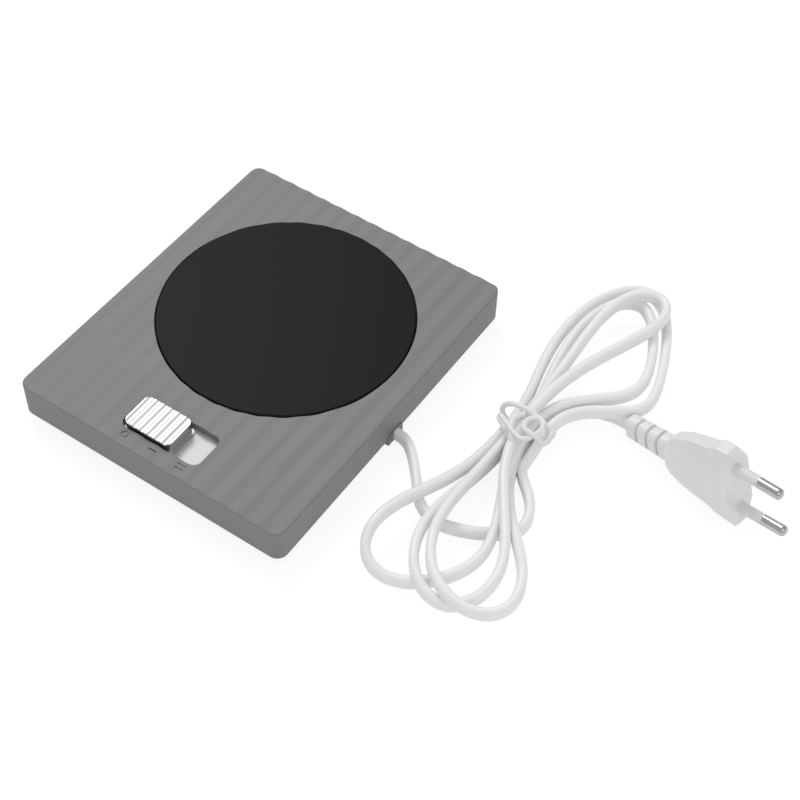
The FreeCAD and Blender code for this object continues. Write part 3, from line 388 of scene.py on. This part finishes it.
tie_route = [seen_at(*point) for point in KNOT_PIXELS_AND_HEIGHTS]
for k in range(TURN_POINTS + 1):
    share = k / TURN_POINTS
    a = math.radians(TURN_START - TURN_SWEEP * share)
    tie_route.append((TIE_X + TIE_HALF_WIDTH * math.cos(a), TIE_Y + TIE_SPREAD * (0.5 - share),
                      TIE_MIDDLE_Z + TIE_HALF_HEIGHT * math.sin(a)))
tie_route += [seen_at(*point) for point in LOOP_PIXELS_AND_HEIGHTS]
tie = sweep("tie_wire", nurbs_line("tie_line", tie_route), round_section(TIE_WIRE_RADIUS, 12),
            moulded("plastic_coated_wire", "#F0F0F0", 0.4, 0.5, 0.004, mottle=0.01), upright=False)
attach(tie, "housing")
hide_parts("cord_tie")


# Plug: a flat moulded plug in glossy white PVC with two nickel-plated brass pins, which
# have white insulating sleeves next to its face, and a grooved strain relief behind.

# The plug's PVC is smoother than the lead's and shows small bright edges.
plug_pvc = moulded("moulded_plug_pvc", "#EBEBEB", 0.3, 0.8, 0.004, mottle=0.01)
finish_node("plug_body", plug_pvc)
finish_node("plug_pins", moulded("nickel_plated_brass", "#B9B9B9", 0.22, 0.3, 0.002, metallic=1.0))
finish_node("pin_sleeves", moulded("white_sleeve_nylon", "#E4E4E4", 0.45, 0.5, 0.004))


# Studio: a plain white table top, one large soft lamp over the left shoulder, a weaker
# one from the right, and an even white surround that metal parts reflect.

def white_floor():
    """A table top that looks white to the camera and in metal, and still takes shadows."""
    made = bpy.data.materials.new("white_table_top")
    made.use_nodes = True
    tree = made.node_tree
    shader = tree.nodes["Principled BSDF"]
    shader.inputs["Base Color"].default_value = srgb("#FAFAFA")
    shader.inputs["Roughness"].default_value = 0.9
    rays = add(tree, "ShaderNodeLightPath").outputs
    seen = add(tree, "ShaderNodeMath", {"operation": "MAXIMUM"})
    tree.links.new(rays["Is Camera Ray"], seen.inputs[0])
    tree.links.new(rays["Is Glossy Ray"], seen.inputs[1])
    share = add(tree, "ShaderNodeMath", {"operation": "MULTIPLY"})
    tree.links.new(seen.outputs["Value"], share.inputs[0])
    share.inputs[1].default_value = 0.75
    white = add(tree, "ShaderNodeEmission", Strength=1.12)
    both = add(tree, "ShaderNodeMixShader", Fac=share.outputs["Value"])
    tree.links.new(shader.outputs["BSDF"], both.inputs[1])
    tree.links.new(white.outputs["Emission"], both.inputs[2])
    tree.links.new(both.outputs["Shader"], tree.nodes["Material Output"].inputs["Surface"])
    return made


floor_mesh = bpy.data.meshes.new("floor")
floor_mesh.from_pydata([(-4, -4, 0), (4, -4, 0), (4, 4, 0), (-4, 4, 0)], [], [(0, 1, 2, 3)])
floor_mesh.materials.append(white_floor())
floor = bpy.data.objects.new("floor", floor_mesh)
bpy.context.scene.collection.objects.link(floor)


def soft_lamp(name, at, size, watts):
    data = bpy.data.lights.new(name, "AREA")
    data.size = size
    data.energy = watts
    lamp = bpy.data.objects.new(name, data)
    lamp.location = at
    lamp.rotation_euler = (Vector((0.05, 0.01, 0)) - Vector(at)).to_track_quat("-Z", "Y").to_euler()
    bpy.context.scene.collection.objects.link(lamp)


soft_lamp("key_lamp", at=(-0.7, 0.5, 1.1), size=0.5, watts=6)
soft_lamp("fill_lamp", at=(0.9, -0.5, 0.9), size=0.8, watts=2)
world = bpy.data.worlds.new("studio")
world.use_nodes = True
world.node_tree.nodes["Background"].inputs["Color"].default_value = (1, 1, 1, 1)
world.node_tree.nodes["Background"].inputs["Strength"].default_value = 0.6
bpy.context.scene.world = world
